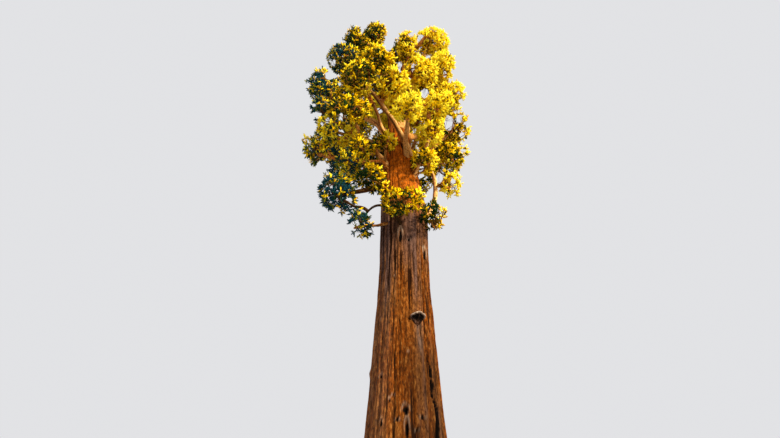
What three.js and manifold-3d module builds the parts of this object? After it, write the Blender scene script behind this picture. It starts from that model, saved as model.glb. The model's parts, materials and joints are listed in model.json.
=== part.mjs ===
// A giant sequoia as a whole tree: trunk, burl, main boughs and the masses of foliage of its crown.
// Millimetres, +Z up, origin at ground level in the middle of the flat cut under the trunk; the open
// front of the crown faces -Y. Sizes in the tables are metres at the reduced size (40 m tall).
import * as THREE from "three";
import { mergeVertices } from "three/addons/utils/BufferGeometryUtils.js";
import Module from "manifold-3d";

const wasm = await Module();
wasm.setup();
const { Manifold, Mesh: SolidMesh } = wasm;

const MM = 1000; // one metre in the part's unit
const HEIGHT = 40; // ground to the highest needle
const GAP = 0.001; // clearance between touching pieces

// ---------------------------------------------------------------- trunk
// height, diameter, lean along X, lean along Y
const TRUNK = [
  [0.0, 3.9, 0.0, 0.0],
  [0.35, 3.46, 0.0, 0.0],
  [0.8, 3.12, 0.0, 0.0],
  [1.4, 2.87, 0.0, 0.0],
  [2.2, 2.66, 0.0, 0.0],
  [3.5, 2.44, 0.0, 0.0],
  [5.0, 2.31, 0.0, 0.0],
  [7.0, 2.2, 0.0, 0.0],
  [9.0, 2.09, 0.0, 0.0],
  [11.0, 2.15, 0.0, 0.0],
  [13.0, 2.26, 0.0, 0.0],
  [15.2, 2.02, -0.13, -0.02],
  [17.2, 1.76, -0.24, -0.05],
  [20.3, 1.3, -0.32, -0.14],
  [23.0, 1.0, -0.58, -0.3],
  [26.0, 0.8, -1.0, -0.52],
  [30.3, 0.56, -1.9, -0.82],
  [34.5, 0.36, -2.42, -0.72],
  [38.6, 0.1, -2.62, -0.36],
];
const TRUNK_SIDES = 20;
const TRUNK_RINGS = [
  0, 0.3, 0.7, 1.3, 2.2, 3.5, 5.5, 8, 10.5, 13, 15, 17, 19, 21.5, 25, 29, 34, 38.6,
];
const ROOT_LOBES = [12, 74, 131, 190, 247, 304]; // azimuths of the buttress roots
const LOBE_OUT = 0.24; // how far a buttress stands out at the ground, as a share of the radius
const LOBE_WIDTH = 21; // half its width, degrees
const LOBE_FADE = 0.95; // height over which it fades
const CLEFT = { azimuth: 318, depth: 0.16, width: 13, fade: 3.2 }; // the old fire cleft on the right of the front

const rad = (deg) => (deg * Math.PI) / 180;

function station(z) {
  // size and centre of the trunk at a height, by cubic blending of the table
  const t = TRUNK;
  if (z <= t[0][0]) return t[0].slice(1);
  for (let i = 1; i < t.length; i++) {
    if (z > t[i][0]) continue;
    const a = t[i - 1], b = t[i], h = b[0] - a[0], s = (z - a[0]) / h;
    const slope = (k, c) => {
      const p = t[Math.max(k - 1, 0)], q = t[Math.min(k + 1, t.length - 1)];
      return (q[c] - p[c]) / (q[0] - p[0]);
    };
    return [1, 2, 3].map((c) => {
      const m0 = slope(i - 1, c) * h, m1 = slope(i, c) * h;
      const s2 = s * s, s3 = s2 * s;
      return (2 * s3 - 3 * s2 + 1) * a[c] + (s3 - 2 * s2 + s) * m0 + (3 * s2 - 2 * s3) * b[c] + (s3 - s2) * m1;
    });
  }
  return t[t.length - 1].slice(1);
}

function turn(a, b) {
  // the smaller angle between two azimuths
  return Math.abs(((a - b + 540) % 360) - 180);
}

function trunkRadius(azimuth, z, grow) {
  let share = 1;
  for (const lobe of ROOT_LOBES)
    share += LOBE_OUT * Math.exp(-z / LOBE_FADE) * Math.exp(-((turn(azimuth, lobe) / LOBE_WIDTH) ** 2));
  share -= CLEFT.depth * Math.exp(-z / CLEFT.fade) * Math.exp(-((turn(azimuth, CLEFT.azimuth) / CLEFT.width) ** 2));
  return (station(z)[0] / 2) * share + grow;
}

function ringSolid(rings, grow) {
  // a closed skin over rings of points, all with the same count, capped flat at both ends
  const n = rings[0].length, pos = [], tri = [];
  for (const ring of rings) for (const p of ring) pos.push(p[0] * MM, p[1] * MM, p[2] * MM);
  for (let i = 0; i + 1 < rings.length; i++)
    for (let j = 0; j < n; j++) {
      const a = i * n + j, b = i * n + ((j + 1) % n);
      tri.push(a, b, b + n, a, b + n, a + n);
    }
  for (const [at, up] of [[0, false], [rings.length - 1, true]]) {
    const c = pos.length / 3, mid = [0, 0, 0];
    for (const p of rings[at]) for (let k = 0; k < 3; k++) mid[k] += (p[k] * MM) / n;
    pos.push(...mid);
    for (let j = 0; j < n; j++) {
      const a = at * n + j, b = at * n + ((j + 1) % n);
      up ? tri.push(c, a, b) : tri.push(c, b, a);
    }
  }
  return new Manifold(new SolidMesh({
    numProp: 3,
    vertProperties: new Float32Array(pos),
    triVerts: new Uint32Array(tri),
  }));
}

function trunkSolid(grow) {
  return ringSolid(TRUNK_RINGS.map((z) => {
    const [, x, y] = station(z), ring = [];
    for (let j = 0; j < TRUNK_SIDES; j++) {
      const azimuth = (360 * j) / TRUNK_SIDES, r = trunkRadius(azimuth, z, grow);
      ring.push([x + r * Math.cos(rad(azimuth)), y + r * Math.sin(rad(azimuth)), z]);
    }
    return ring;
  }), grow);
}

// ---------------------------------------------------------------- boughs
// name, root [azimuth, reach, height], elbow [same], end [same], radius at root, radius at end
const BOUGHS = [
  ["bough_front_left", [309, 0.6, 17.3], [260, 2.23, 19.3], [232, 4.3, 20.9], 0.17, 0.09],
  ["bough_mid_left", [211, 0.6, 17.6], [227, 1.63, 19.0], [225, 2.6, 21.0], 0.16, 0.09],
  ["bough_left_arch", [219, 0.64, 15.7], [214, 2.52, 18.3], [200, 3.8, 17.9], 0.16, 0.085],
  ["bough_left_low", [211, 0.58, 15.2], [205, 1.9, 14.0], [197, 3.4, 13.5], 0.17, 0.09],
  ["bough_left_brown", [180, 0.5, 17.6], [191, 2.1, 16.5], [180, 5.2, 18.3], 0.22, 0.1],
  ["bough_left_up", [180, 0.5, 19.8], [193, 2.6, 22.5], [179, 5.8, 25.0], 0.24, 0.1],
  ["bough_right_elbow", [0, 0.7, 12.3], [0, 2.25, 14.0], [15, 1.45, 17.6], 0.15, 0.09],
  ["bough_right_tip", [346, 0.4, 16.8], [350, 1.95, 18.6], [353, 3.2, 20.2], 0.16, 0.09],
  ["bough_right_front", [307, 0.5, 15.0], [310, 1.6, 15.6], [306, 2.5, 17.0], 0.15, 0.09],
  ["bough_front_up", [297, 0.45, 16.7], [273, 1.7, 17.3], [275, 3.5, 17.2], 0.16, 0.09],
  ["bough_left_foot", [268, 0.85, 11.25], [248, 2.45, 12.5], [212, 2.15, 11.6], 0.07, 0.04],
  ["bough_front_foot", [243, 0.7, 11.7], [261, 2.0, 12.2], [272, 2.3, 11.5], 0.09, 0.05],
  ["bough_right_leader", [207, 0.25, 20.0], [335, 0.5, 26.0], [332, 3.0, 33.2], 0.44, 0.12],
  ["bough_mid_peak", [325, 0.35, 25.0], [280, 0.8, 28.0], [274, 1.35, 32.2], 0.2, 0.1],
  ["bough_back_left", [143, 0.5, 19.3], [140, 2.3, 21.5], [148, 4.9, 24.8], 0.24, 0.12],
  ["bough_back_right", [56, 0.4, 20.5], [53, 2.0, 22.5], [47, 4.1, 25.6], 0.22, 0.12],
];
const BOUGH_SIDES = 6;
const BOUGH_STEPS = 5;

const polar = ([azimuth, reach, z]) =>
  new THREE.Vector3(reach * Math.cos(rad(azimuth)), reach * Math.sin(rad(azimuth)), z);

function boughSolid([, root, elbow, end, r0, r1], grow) {
  const curve = new THREE.QuadraticBezierCurve3(polar(root), polar(elbow), polar(end));
  const side = new THREE.Vector3(), up = new THREE.Vector3();
  const rings = [];
  for (let i = 0; i <= BOUGH_STEPS; i++) {
    const t = i / BOUGH_STEPS, c = curve.getPoint(t), along = curve.getTangent(t);
    side.crossVectors(along, Math.abs(along.z) > 0.95 ? new THREE.Vector3(0, 1, 0) : new THREE.Vector3(0, 0, 1)).normalize();
    if (i > 0 && side.dot(ringSide) < 0) side.negate();
    ringSide.copy(side);
    up.crossVectors(along, side).normalize();
    const r = (r0 + (r1 - r0) * t) * (1 + 0.45 * Math.exp(-t * 9)) + grow, ring = [];
    for (let j = 0; j < BOUGH_SIDES; j++) {
      const a = (2 * Math.PI * j) / BOUGH_SIDES;
      ring.push(c.clone().addScaledVector(side, r * Math.cos(a)).addScaledVector(up, r * Math.sin(a)).toArray());
    }
    rings.push(ring);
  }
  const made = ringSolid(rings, grow);
  return made.volume() > 0 ? made : ringSolid(rings.map((r) => r.slice().reverse()), grow);
}
const ringSide = new THREE.Vector3();

// ---------------------------------------------------------------- foliage
// name, azimuth, reach and height of its middle, half width (X), half depth (Y), half height (Z)
const FRONT_MASSES = [
  ["left_foot", 209, 2.09, 11.41, 0.66, 1.14, 0.70],
  ["front_foot", 269, 2.30, 11.35, 1.03, 0.89, 0.75],
  ["right_foot", 324, 1.72, 11.84, 0.66, 1.32, 0.85],
  ["left_low", 197, 3.44, 13.36, 0.95, 1.28, 1.30],
  ["left_low_inner", 184, 2.91, 16.78, 0.96, 1.18, 1.50],
  ["left_inner", 216, 1.87, 14.52, 0.80, 1.14, 1.30],
  ["right_low", 7, 2.56, 15.51, 0.65, 0.99, 1.10],
  ["right_inner", 311, 1.73, 15.71, 0.72, 1.07, 1.40],
  ["left_tip_low", 179, 5.37, 18.80, 1.03, 1.17, 1.80],
  ["left_mid", 197, 3.99, 18.78, 1.17, 1.26, 2.00],
  ["left_mid_front", 228, 3.11, 15.62, 0.70, 0.76, 1.30],
  ["front_mid", 244, 2.12, 16.67, 0.79, 0.73, 1.00],
  ["right_low_tip", 12, 2.97, 18.86, 1.04, 1.04, 1.70],
  ["right_mid", 306, 2.47, 17.28, 0.96, 0.97, 1.70],
  ["right_mid_tip", 355, 3.13, 20.50, 1.06, 1.14, 2.10],
  ["left_up_tip", 178, 5.81, 24.22, 1.16, 1.18, 2.10],
  ["left_up", 184, 5.87, 26.69, 1.45, 1.34, 2.50],
  ["left_up_front", 225, 4.10, 18.18, 1.07, 1.04, 2.20],
  ["mid_inner", 166, 1.46, 23.98, 1.30, 1.33, 2.30],
  ["front_up", 274, 3.91, 16.44, 0.91, 0.87, 2.00],
  ["right_up_front", 299, 3.44, 18.34, 0.96, 0.97, 2.10],
  ["right_up_tip", 348, 3.50, 23.77, 1.16, 1.23, 2.40],
  ["left_top_front", 231, 4.13, 21.54, 1.32, 1.21, 2.70],
  ["mid_top_front", 257, 3.48, 20.57, 1.15, 1.05, 2.60],
  ["mid_top_right", 294, 2.73, 23.42, 1.16, 1.23, 2.60],
  ["left_top_tip", 194, 4.95, 30.50, 1.40, 1.36, 2.80],
  ["left_top", 198, 4.26, 33.45, 1.32, 1.33, 2.90],
  ["left_peak", 199, 2.79, 36.41, 1.14, 1.50, 3.40],
  ["high_front", 232, 3.05, 26.85, 1.38, 1.05, 2.80],
  ["mid_peak", 287, 1.46, 31.09, 0.99, 1.34, 3.00],
  ["right_peak", 330, 2.99, 32.72, 1.36, 1.44, 3.00],
  ["right_top", 338, 3.26, 27.63, 0.97, 1.65, 3.10],
];
const BACK_MASSES = [
  ["back_low", 85, 2.41, 18.90, 1.90, 1.60, 2.10],
  ["back_low_left", 149, 4.08, 20.70, 1.90, 1.80, 1.90],
  ["back_low_right", 41, 3.69, 21.40, 1.70, 1.80, 2.10],
  ["back_mid", 101, 4.28, 24.00, 2.30, 2.00, 2.60],
  ["back_mid_left", 150, 5.20, 25.60, 2.40, 2.30, 2.70],
  ["back_mid_right", 48, 4.04, 26.20, 2.20, 2.20, 2.70],
  ["back_up_left", 152, 4.21, 31.20, 2.40, 2.30, 3.10],
  ["back_up", 95, 3.31, 29.60, 2.30, 2.10, 3.00],
  ["back_up_right", 35, 3.30, 31.40, 2.10, 2.10, 3.00],
  ["back_top", 122, 1.53, 35.40, 2.10, 1.90, 3.00],
];
const RISE_FROM = new THREE.Vector3(0, -12, 0.8); // the front clumps are drawn out along lines that rise from here
const BACK_LEAN = 0.05; // the back clumps lean in towards the trunk, per metre of reach
const LUMP = 0.16; // how far a clump's surface swells and sinks, as a share of its size
const SMALL = 1.12; // clumps of a smaller mean size get fewer facets

function randomFrom(seed) {
  let s = seed >>> 0;
  return () => {
    s = (s + 0x6d2b79f5) >>> 0;
    let t = Math.imul(s ^ (s >>> 15), 1 | s);
    t = (t + Math.imul(t ^ (t >>> 7), 61 | t)) ^ t;
    return ((t ^ (t >>> 14)) >>> 0) / 4294967296;
  };
}

const unitBall = [1, 2].map((detail) => {
  const g = new THREE.IcosahedronGeometry(1, detail);
  g.deleteAttribute("normal");
  g.deleteAttribute("uv");
  return mergeVertices(g, 1e-4);
});

const clumps = [...FRONT_MASSES.map((row) => [row, true]), ...BACK_MASSES.map((row) => [row, false])].map(
  ([[name, azimuth, reach, z, rx, ry, rz], front], index) => {
    const centre = polar([azimuth, reach, z]);
    const lean = front
      ? centre.clone().sub(RISE_FROM).divideScalar(centre.z - RISE_FROM.z)
      : new THREE.Vector3(-BACK_LEAN * centre.x, -BACK_LEAN * centre.y, 1);
    // columns: where the ball's X, Y and Z go
    const shape = new THREE.Matrix3().set(rx, 0, rz * lean.x, 0, ry, rz * lean.y, 0, 0, rz);
    const random = randomFrom(977 + 31 * index);
    const swells = Array.from({ length: 9 }, () => {
      const u = random() * 2 - 1, a = random() * 2 * Math.PI, s = Math.sqrt(1 - u * u);
      return new THREE.Vector3(s * Math.cos(a), s * Math.sin(a), u);
    });
    return { name: "foliage_" + name, centre, shape, swells, size: (rx + ry + rz) / 3, planes: [] };
  },
);

function swollen(clump, direction, into) {
  // a point of the clump's own uneven skin, from its middle
  let swell = 0;
  for (const s of clump.swells) swell += Math.exp(-(1 - direction.dot(s)) * 9);
  return into.copy(direction).applyMatrix3(clump.shape).multiplyScalar(1 - LUMP + 2 * LUMP * Math.min(swell, 1));
}

// The tallest clump is moved up or down until its highest point is the tree's height.
{
  const top = clumps.find((c) => c.name === "foliage_left_peak"), v = new THREE.Vector3(), p = new THREE.Vector3();
  let rise = 0;
  for (let i = 0; i < unitBall[1].attributes.position.count; i++)
    rise = Math.max(rise, swollen(top, v.fromBufferAttribute(unitBall[1].attributes.position, i).normalize(), p).z);
  top.centre.z = HEIGHT - rise;
}

function support(clump, n) {
  // how far the plain clump reaches from its middle along n
  const e = clump.shape.elements; // column order
  return Math.hypot(
    n.x * e[0] + n.y * e[1] + n.z * e[2],
    n.x * e[3] + n.y * e[4] + n.z * e[5],
    n.x * e[6] + n.y * e[7] + n.z * e[8],
  );
}

// Neighbours that would run into each other share a flat parting plane.
clumps.forEach((a, i) =>
  clumps.slice(i + 1).forEach((b) => {
    const d = b.centre.clone().sub(a.centre);
    // the plane's slope follows both clumps' shapes
    const spread = new THREE.Matrix3();
    const sum = new Array(9).fill(0);
    for (const c of [a, b]) {
      const e = c.shape.elements;
      for (let r = 0; r < 3; r++)
        for (let q = 0; q < 3; q++)
          for (let k = 0; k < 3; k++) sum[r * 3 + q] += e[k * 3 + r] * e[k * 3 + q];
    }
    spread.set(...sum).invert();
    const n = d.clone().applyMatrix3(spread).normalize();
    const along = d.dot(n), ha = support(a, n), hb = support(b, n);
    if ((ha + hb) * (1 + LUMP) < along) return;
    const at = a.centre.dot(n) + (along * ha) / (ha + hb);
    a.planes.push([n, at - GAP / 2]);
    b.planes.push([n.clone().negate(), -at - GAP / 2]);
  }),
);

function clumpSolid(clump, grow) {
  const ball = unitBall[clump.size < SMALL ? 0 : 1], p = ball.attributes.position;
  const u = new THREE.Vector3(), v = new THREE.Vector3(), out = new Float32Array(p.count * 3);
  for (let i = 0; i < p.count; i++) {
    swollen(clump, u.fromBufferAttribute(p, i).normalize(), v);
    let keep = 1;
    for (const [n, at] of clump.planes) {
      const reach = v.dot(n), room = at - clump.centre.dot(n);
      if (reach > 1e-9 && reach * keep > room) keep = room / reach;
    }
    v.multiplyScalar(keep);
    v.multiplyScalar((v.length() + grow) / v.length()).add(clump.centre);
    out.set([v.x * MM, v.y * MM, v.z * MM], i * 3);
  }
  return new Manifold(new SolidMesh({
    numProp: 3,
    vertProperties: out,
    triVerts: new Uint32Array(ball.index.array),
  }));
}

// ---------------------------------------------------------------- burl
const BURL = { azimuth: 293, z: 6.88, out: 0.06, width: 0.26, tall: 0.28, deep: 0.25 };

function burlSolid(grow) {
  const ball = unitBall[0].clone(), r = trunkRadius(BURL.azimuth, BURL.z, 0) + BURL.out;
  const random = randomFrom(5), g = ball.attributes.position, a = rad(BURL.azimuth);
  const out = new Float32Array(g.count * 3);
  for (let i = 0; i < g.count; i++) {
    const k = 0.88 + 0.24 * random();
    const deep = (BURL.deep * k + grow) * g.getX(i), wide = (BURL.width * k + grow) * g.getY(i);
    out.set([
      ((r + deep) * Math.cos(a) - wide * Math.sin(a)) * MM,
      ((r + deep) * Math.sin(a) + wide * Math.cos(a)) * MM,
      (BURL.z + (BURL.tall * k + grow) * g.getZ(i)) * MM,
    ], i * 3);
  }
  return new Manifold(new SolidMesh({
    numProp: 3,
    vertProperties: out,
    triVerts: new Uint32Array(ball.index.array),
  }));
}

// ---------------------------------------------------------------- fitting the pieces to each other
function largest(solid) {
  return solid.decompose().reduce((a, b) => (b.volume() > a.volume() ? b : a));
}

function apart(a, b) {
  const p = a.boundingBox(), q = b.boundingBox();
  return [0, 1, 2].some((k) => p.min[k] > q.max[k] || q.min[k] > p.max[k]);
}

function cutBy(solid, cutters) {
  for (const c of cutters) if (!apart(solid, c)) solid = largest(solid.subtract(c));
  return solid;
}

const trunk = trunkSolid(0), trunkRoom = trunkSolid(GAP);
const pieces = [["trunk", trunk], ["trunk_burl", cutBy(burlSolid(0), [trunkRoom])]];

const clumpRooms = clumps.map((c) => clumpSolid(c, GAP));
const boughRooms = [];
for (const row of BOUGHS) {
  const made = cutBy(boughSolid(row, 0), [trunkRoom, ...boughRooms, ...clumpRooms]);
  pieces.push([row[0], made]);
  boughRooms.push(boughSolid(row, GAP));
}
for (const c of clumps) pieces.push([c.name, cutBy(clumpSolid(c, 0), [trunkRoom])]);

// ---------------------------------------------------------------- colours
const BARK = new THREE.Color(0.42, 0.2, 0.1);
const BOUGH_BARK = new THREE.Color(0.5, 0.3, 0.17);
const NEEDLES_SHADE = new THREE.Color(0.1, 0.14, 0.05), NEEDLES_SUN = new THREE.Color(0.56, 0.43, 0.06);

function colourOf(name, middle) {
  if (name.startsWith("trunk")) return BARK.clone();
  if (name.startsWith("bough")) return BOUGH_BARK.clone();
  // the right side and the middle of the crown are the sunny ones
  const sun = THREE.MathUtils.smoothstep(middle, -6, 3);
  return NEEDLES_SHADE.clone().lerp(NEEDLES_SUN, sun);
}

const tree = new THREE.Group();
tree.name = "giant_sequoia";
for (const [name, solid] of pieces) {
  const m = solid.getMesh(), box = solid.boundingBox();
  const geometry = new THREE.BufferGeometry();
  geometry.setAttribute("position", new THREE.BufferAttribute(new Float32Array(m.vertProperties), 3));
  geometry.setIndex(new THREE.BufferAttribute(new Uint32Array(m.triVerts), 1));
  geometry.computeVertexNormals();
  const material = new THREE.MeshStandardMaterial({
    color: colourOf(name, (box.min[0] + box.max[0]) / 2 / MM),
    roughness: 0.85,
    metalness: 0,
    flatShading: true,
  });
  const mesh = new THREE.Mesh(geometry, material);
  mesh.name = name;
  tree.add(mesh);
}
export default tree;
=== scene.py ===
"""Looks of the giant sequoia: bark with relief, gnarled limbs, twigs and sprays of scale needles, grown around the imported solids."""

import json
import math

import bpy
import numpy as np
from mathutils import Matrix, Vector
from mathutils.bvhtree import BVHTree

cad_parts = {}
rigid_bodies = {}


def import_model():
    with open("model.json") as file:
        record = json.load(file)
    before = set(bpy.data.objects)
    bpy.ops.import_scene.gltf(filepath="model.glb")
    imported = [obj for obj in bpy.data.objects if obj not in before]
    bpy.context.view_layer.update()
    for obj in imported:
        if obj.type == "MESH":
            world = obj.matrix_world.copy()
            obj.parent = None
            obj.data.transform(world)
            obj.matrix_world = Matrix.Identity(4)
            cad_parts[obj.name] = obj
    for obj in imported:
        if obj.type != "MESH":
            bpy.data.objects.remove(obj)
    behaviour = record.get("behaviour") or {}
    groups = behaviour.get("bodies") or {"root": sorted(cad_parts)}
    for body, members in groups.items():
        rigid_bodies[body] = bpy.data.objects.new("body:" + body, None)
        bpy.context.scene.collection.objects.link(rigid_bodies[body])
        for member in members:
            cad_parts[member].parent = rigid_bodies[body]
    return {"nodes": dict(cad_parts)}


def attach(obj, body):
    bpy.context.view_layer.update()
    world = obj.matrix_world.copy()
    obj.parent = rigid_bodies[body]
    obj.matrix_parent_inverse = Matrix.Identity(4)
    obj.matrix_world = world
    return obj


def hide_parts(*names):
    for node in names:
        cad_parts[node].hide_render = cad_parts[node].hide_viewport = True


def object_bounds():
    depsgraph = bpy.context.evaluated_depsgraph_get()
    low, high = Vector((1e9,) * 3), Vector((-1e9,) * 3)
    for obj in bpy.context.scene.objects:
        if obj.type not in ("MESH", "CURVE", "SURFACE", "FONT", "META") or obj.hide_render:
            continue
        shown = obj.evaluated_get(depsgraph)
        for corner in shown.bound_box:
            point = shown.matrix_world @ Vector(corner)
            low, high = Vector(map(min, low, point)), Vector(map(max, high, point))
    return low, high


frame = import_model()
cad_box = [list(map(float, p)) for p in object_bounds()]
NODES = frame["nodes"]

# ---------------------------------------------------------------- camera (the photograph's viewing angle)
CAMERA_AT = (0.0, -12.0, 0.81)
FOCAL_PX, WIDE_PX = 347.0, 780.0
MIDDLE_PX = (390.0, 219.0)
UP_VANISHES_PX = (400.0, -130.0)  # where vertical lines meet in the picture
FOOT_PX = (406.0, 438.0)  # a point of the picture straight above the foot of the tree


def camera_turn():
    up = np.array([UP_VANISHES_PX[0] - MIDDLE_PX[0], MIDDLE_PX[1] - UP_VANISHES_PX[1], -FOCAL_PX])
    up /= np.linalg.norm(up)
    foot = np.array([(FOOT_PX[0] - MIDDLE_PX[0]) / FOCAL_PX, (MIDDLE_PX[1] - FOOT_PX[1]) / FOCAL_PX, -1.0])
    ahead = foot - (foot @ up) * up
    ahead /= np.linalg.norm(ahead)
    return np.stack([np.cross(ahead, up), ahead, up], axis=1).T


camera_data = bpy.data.cameras.new("camera")
camera = bpy.data.objects.new("camera", camera_data)
bpy.context.scene.collection.objects.link(camera)
bpy.context.scene.camera = camera
camera_data.sensor_width = 36.0
camera_data.lens = FOCAL_PX / WIDE_PX * 36.0
camera_data.clip_start, camera_data.clip_end = 0.05, 500.0
turned = Matrix([list(map(float, row)) for row in camera_turn()]).to_4x4()
camera.matrix_world = Matrix.Translation(CAMERA_AT) @ turned

# ---------------------------------------------------------------- seeded noise
tables = {}


def smooth(x):
    return x * x * x * (x * (6 * x - 15) + 10)


def wave(u, v, cells, seed):
    """Noise from -1 to 1 that repeats once u has gone from 0 to 1 over that many cells; v runs on in cells."""
    key = (cells, seed)
    if key not in tables:
        tables[key] = np.random.default_rng(seed * 7919 + cells).uniform(-1, 1, (cells, 256))
    t = tables[key]
    x = np.mod(u, 1.0) * cells
    i, j = np.floor(x).astype(int), np.floor(v).astype(int)
    f, g = smooth(x - i), smooth(v - j)
    i0, i1, j0, j1 = i % cells, (i + 1) % cells, j % 256, (j + 1) % 256
    return (t[i0, j0] * (1 - f) + t[i1, j0] * f) * (1 - g) + (t[i0, j1] * (1 - f) + t[i1, j1] * f) * g


def field(p, size, seed):
    """Noise from -1 to 1 in space, with lumps of that size."""
    key = ("space", seed)
    if key not in tables:
        tables[key] = np.random.default_rng(seed).uniform(-1, 1, (32, 32, 32))
    t = tables[key]
    q = np.asarray(p) / size + 100.0
    i = np.floor(q).astype(int)
    f = smooth(q - i)
    out = 0.0
    for a in (0, 1):
        for b in (0, 1):
            for c in (0, 1):
                w = (f[..., 0] if a else 1 - f[..., 0]) * (f[..., 1] if b else 1 - f[..., 1]) * (f[..., 2] if c else 1 - f[..., 2])
                out = out + w * t[(i[..., 0] + a) % 32, (i[..., 1] + b) % 32, (i[..., 2] + c) % 32]
    return out


def unit(v):
    return v / np.maximum(np.linalg.norm(v, axis=-1, keepdims=True), 1e-9)


def step(lo, hi, x):
    t = np.clip((x - lo) / (hi - lo), 0, 1)
    return t * t * (3 - 2 * t)


# ---------------------------------------------------------------- trunk: the same named sizes as the part's
# height, diameter, lean along X, lean along Y
TRUNK = np.array([
    [0.0, 3.9, 0.0, 0.0], [0.35, 3.46, 0.0, 0.0], [0.8, 3.12, 0.0, 0.0], [1.4, 2.87, 0.0, 0.0],
    [2.2, 2.66, 0.0, 0.0], [3.5, 2.44, 0.0, 0.0], [5.0, 2.31, 0.0, 0.0], [7.0, 2.2, 0.0, 0.0],
    [9.0, 2.09, 0.0, 0.0], [11.0, 2.15, 0.0, 0.0], [13.0, 2.26, 0.0, 0.0], [15.2, 2.02, -0.13, -0.02],
    [17.2, 1.76, -0.24, -0.05], [20.3, 1.3, -0.32, -0.14], [23.0, 1.0, -0.58, -0.3], [26.0, 0.8, -1.0, -0.52],
    [30.3, 0.56, -1.9, -0.82], [34.5, 0.36, -2.42, -0.72], [38.6, 0.1, -2.62, -0.36],
])
ROOT_LOBES = (12, 74, 131, 190, 247, 304)
LOBE_OUT, LOBE_WIDTH, LOBE_FADE = 0.24, 21, 0.95
CLEFT_AZIMUTH, CLEFT_DEPTH, CLEFT_WIDTH, CLEFT_FADE = 318, 0.16, 13, 3.2
TRUNK_TOP, SEAM = 38.6, 19.6


def station(z):
    z = np.clip(np.asarray(z, float), 0, TRUNK_TOP)
    t = TRUNK
    k = np.clip(np.searchsorted(t[:, 0], z, side="left"), 1, len(t) - 1)
    a, b = t[k - 1], t[k]
    before, after = t[np.maximum(k - 2, 0)], t[np.minimum(k + 1, len(t) - 1)]
    h = (b[..., 0] - a[..., 0])[..., None]
    s = ((z - a[..., 0]) / (b[..., 0] - a[..., 0]))[..., None]
    m0 = (b[..., 1:] - before[..., 1:]) / (b[..., :1] - before[..., :1]) * h
    m1 = (after[..., 1:] - a[..., 1:]) / (after[..., :1] - a[..., :1]) * h
    s2, s3 = s * s, s * s * s
    return (2 * s3 - 3 * s2 + 1) * a[..., 1:] + (s3 - 2 * s2 + s) * m0 + (3 * s2 - 2 * s3) * b[..., 1:] + (s3 - s2) * m1


def between(a, b):
    return np.abs((a - b + 540.0) % 360.0 - 180.0)


def signed(a, b):
    return (a - b + 540.0) % 360.0 - 180.0


def trunk_radius(az, z):
    share = np.ones(np.broadcast(az, z).shape)
    for lobe in ROOT_LOBES:
        share = share + LOBE_OUT * np.exp(-z / LOBE_FADE) * np.exp(-((between(az, lobe) / LOBE_WIDTH) ** 2))
    share = share - CLEFT_DEPTH * np.exp(-z / CLEFT_FADE) * np.exp(-((between(az, CLEFT_AZIMUTH) / CLEFT_WIDTH) ** 2))
    return station(z)[..., 0] / 2 * share


# The old fire cleft: azimuth of its dark line at some heights, its half width and depth in metres.
CLEFT = np.array([
    [0.0, 323.0, 0.20, 0.46], [2.0, 322.5, 0.14, 0.42], [3.3, 321.4, 0.09, 0.34], [3.55, 322.2, 0.08, 0.32], [3.8, 324.2, 0.075, 0.28],
    [4.0, 324.4, 0.07, 0.26], [4.12, 323.4, 0.065, 0.24], [4.28, 320.0, 0.05, 0.18], [4.38, 315.8, 0.02, 0.08], [4.46, 315.4, 0.075, 0.20],
    [4.56, 316.0, 0.025, 0.10], [4.66, 317.2, 0.08, 0.22], [4.84, 317.6, 0.08, 0.22], [4.94, 317.0, 0.02, 0.08], [5.08, 316.4, 0.075, 0.2],
    [5.22, 316.0, 0.07, 0.2], [5.34, 314.0, 0.03, 0.1], [5.5, 311.5, 0.04, 0.12], [6.1, 309.0, 0.03, 0.09], [7.5, 307.5, 0.03, 0.06],
    [8.6, 304.8, 0.03, 0.05], [9.4, 302.0, 0.03, 0.04], [10.9, 304.5, 0.03, 0.03],
])
# Knot holes and scars: azimuth, height, half width, half height, depth in metres.
HOLES = np.array([
    [269.7, 3.92, 0.085, 0.11, 0.13], [228.5, 4.94, 0.05, 0.07, 0.09], [251.8, 4.33, 0.035, 0.05, 0.06],
    [246.7, 4.21, 0.035, 0.05, 0.06], [258.3, 3.66, 0.05, 0.05, 0.05], [293.6, 3.74, 0.065, 0.06, 0.10],
    [284.9, 3.4, 0.045, 0.05, 0.09], [271.4, 3.42, 0.05, 0.26, 0.07], [234.7, 3.61, 0.05, 0.09, 0.07],
    [281.6, 10.5, 0.045, 0.06, 0.07], [328.3, 10.05, 0.10, 0.3, 0.08], [217.0, 7.0, 0.04, 0.05, 0.05], [250.0, 8.7, 0.03, 0.05, 0.04],
    [275.0, 5.6, 0.03, 0.05, 0.04], [262.0, 10.7, 0.07, 0.4, 0.06],
    [40.0, 4.4, 0.06, 0.09, 0.09], [88.0, 6.7, 0.05, 0.07, 0.08], [131.0, 3.2, 0.08, 0.12, 0.12],
    [168.0, 8.3, 0.05, 0.06, 0.06], [18.0, 9.1, 0.04, 0.06, 0.05], [104.0, 2.3, 0.05, 0.2, 0.07],
    [152.0, 5.5, 0.04, 0.07, 0.06], [63.0, 10.2, 0.05, 0.06, 0.07],
])
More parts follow.
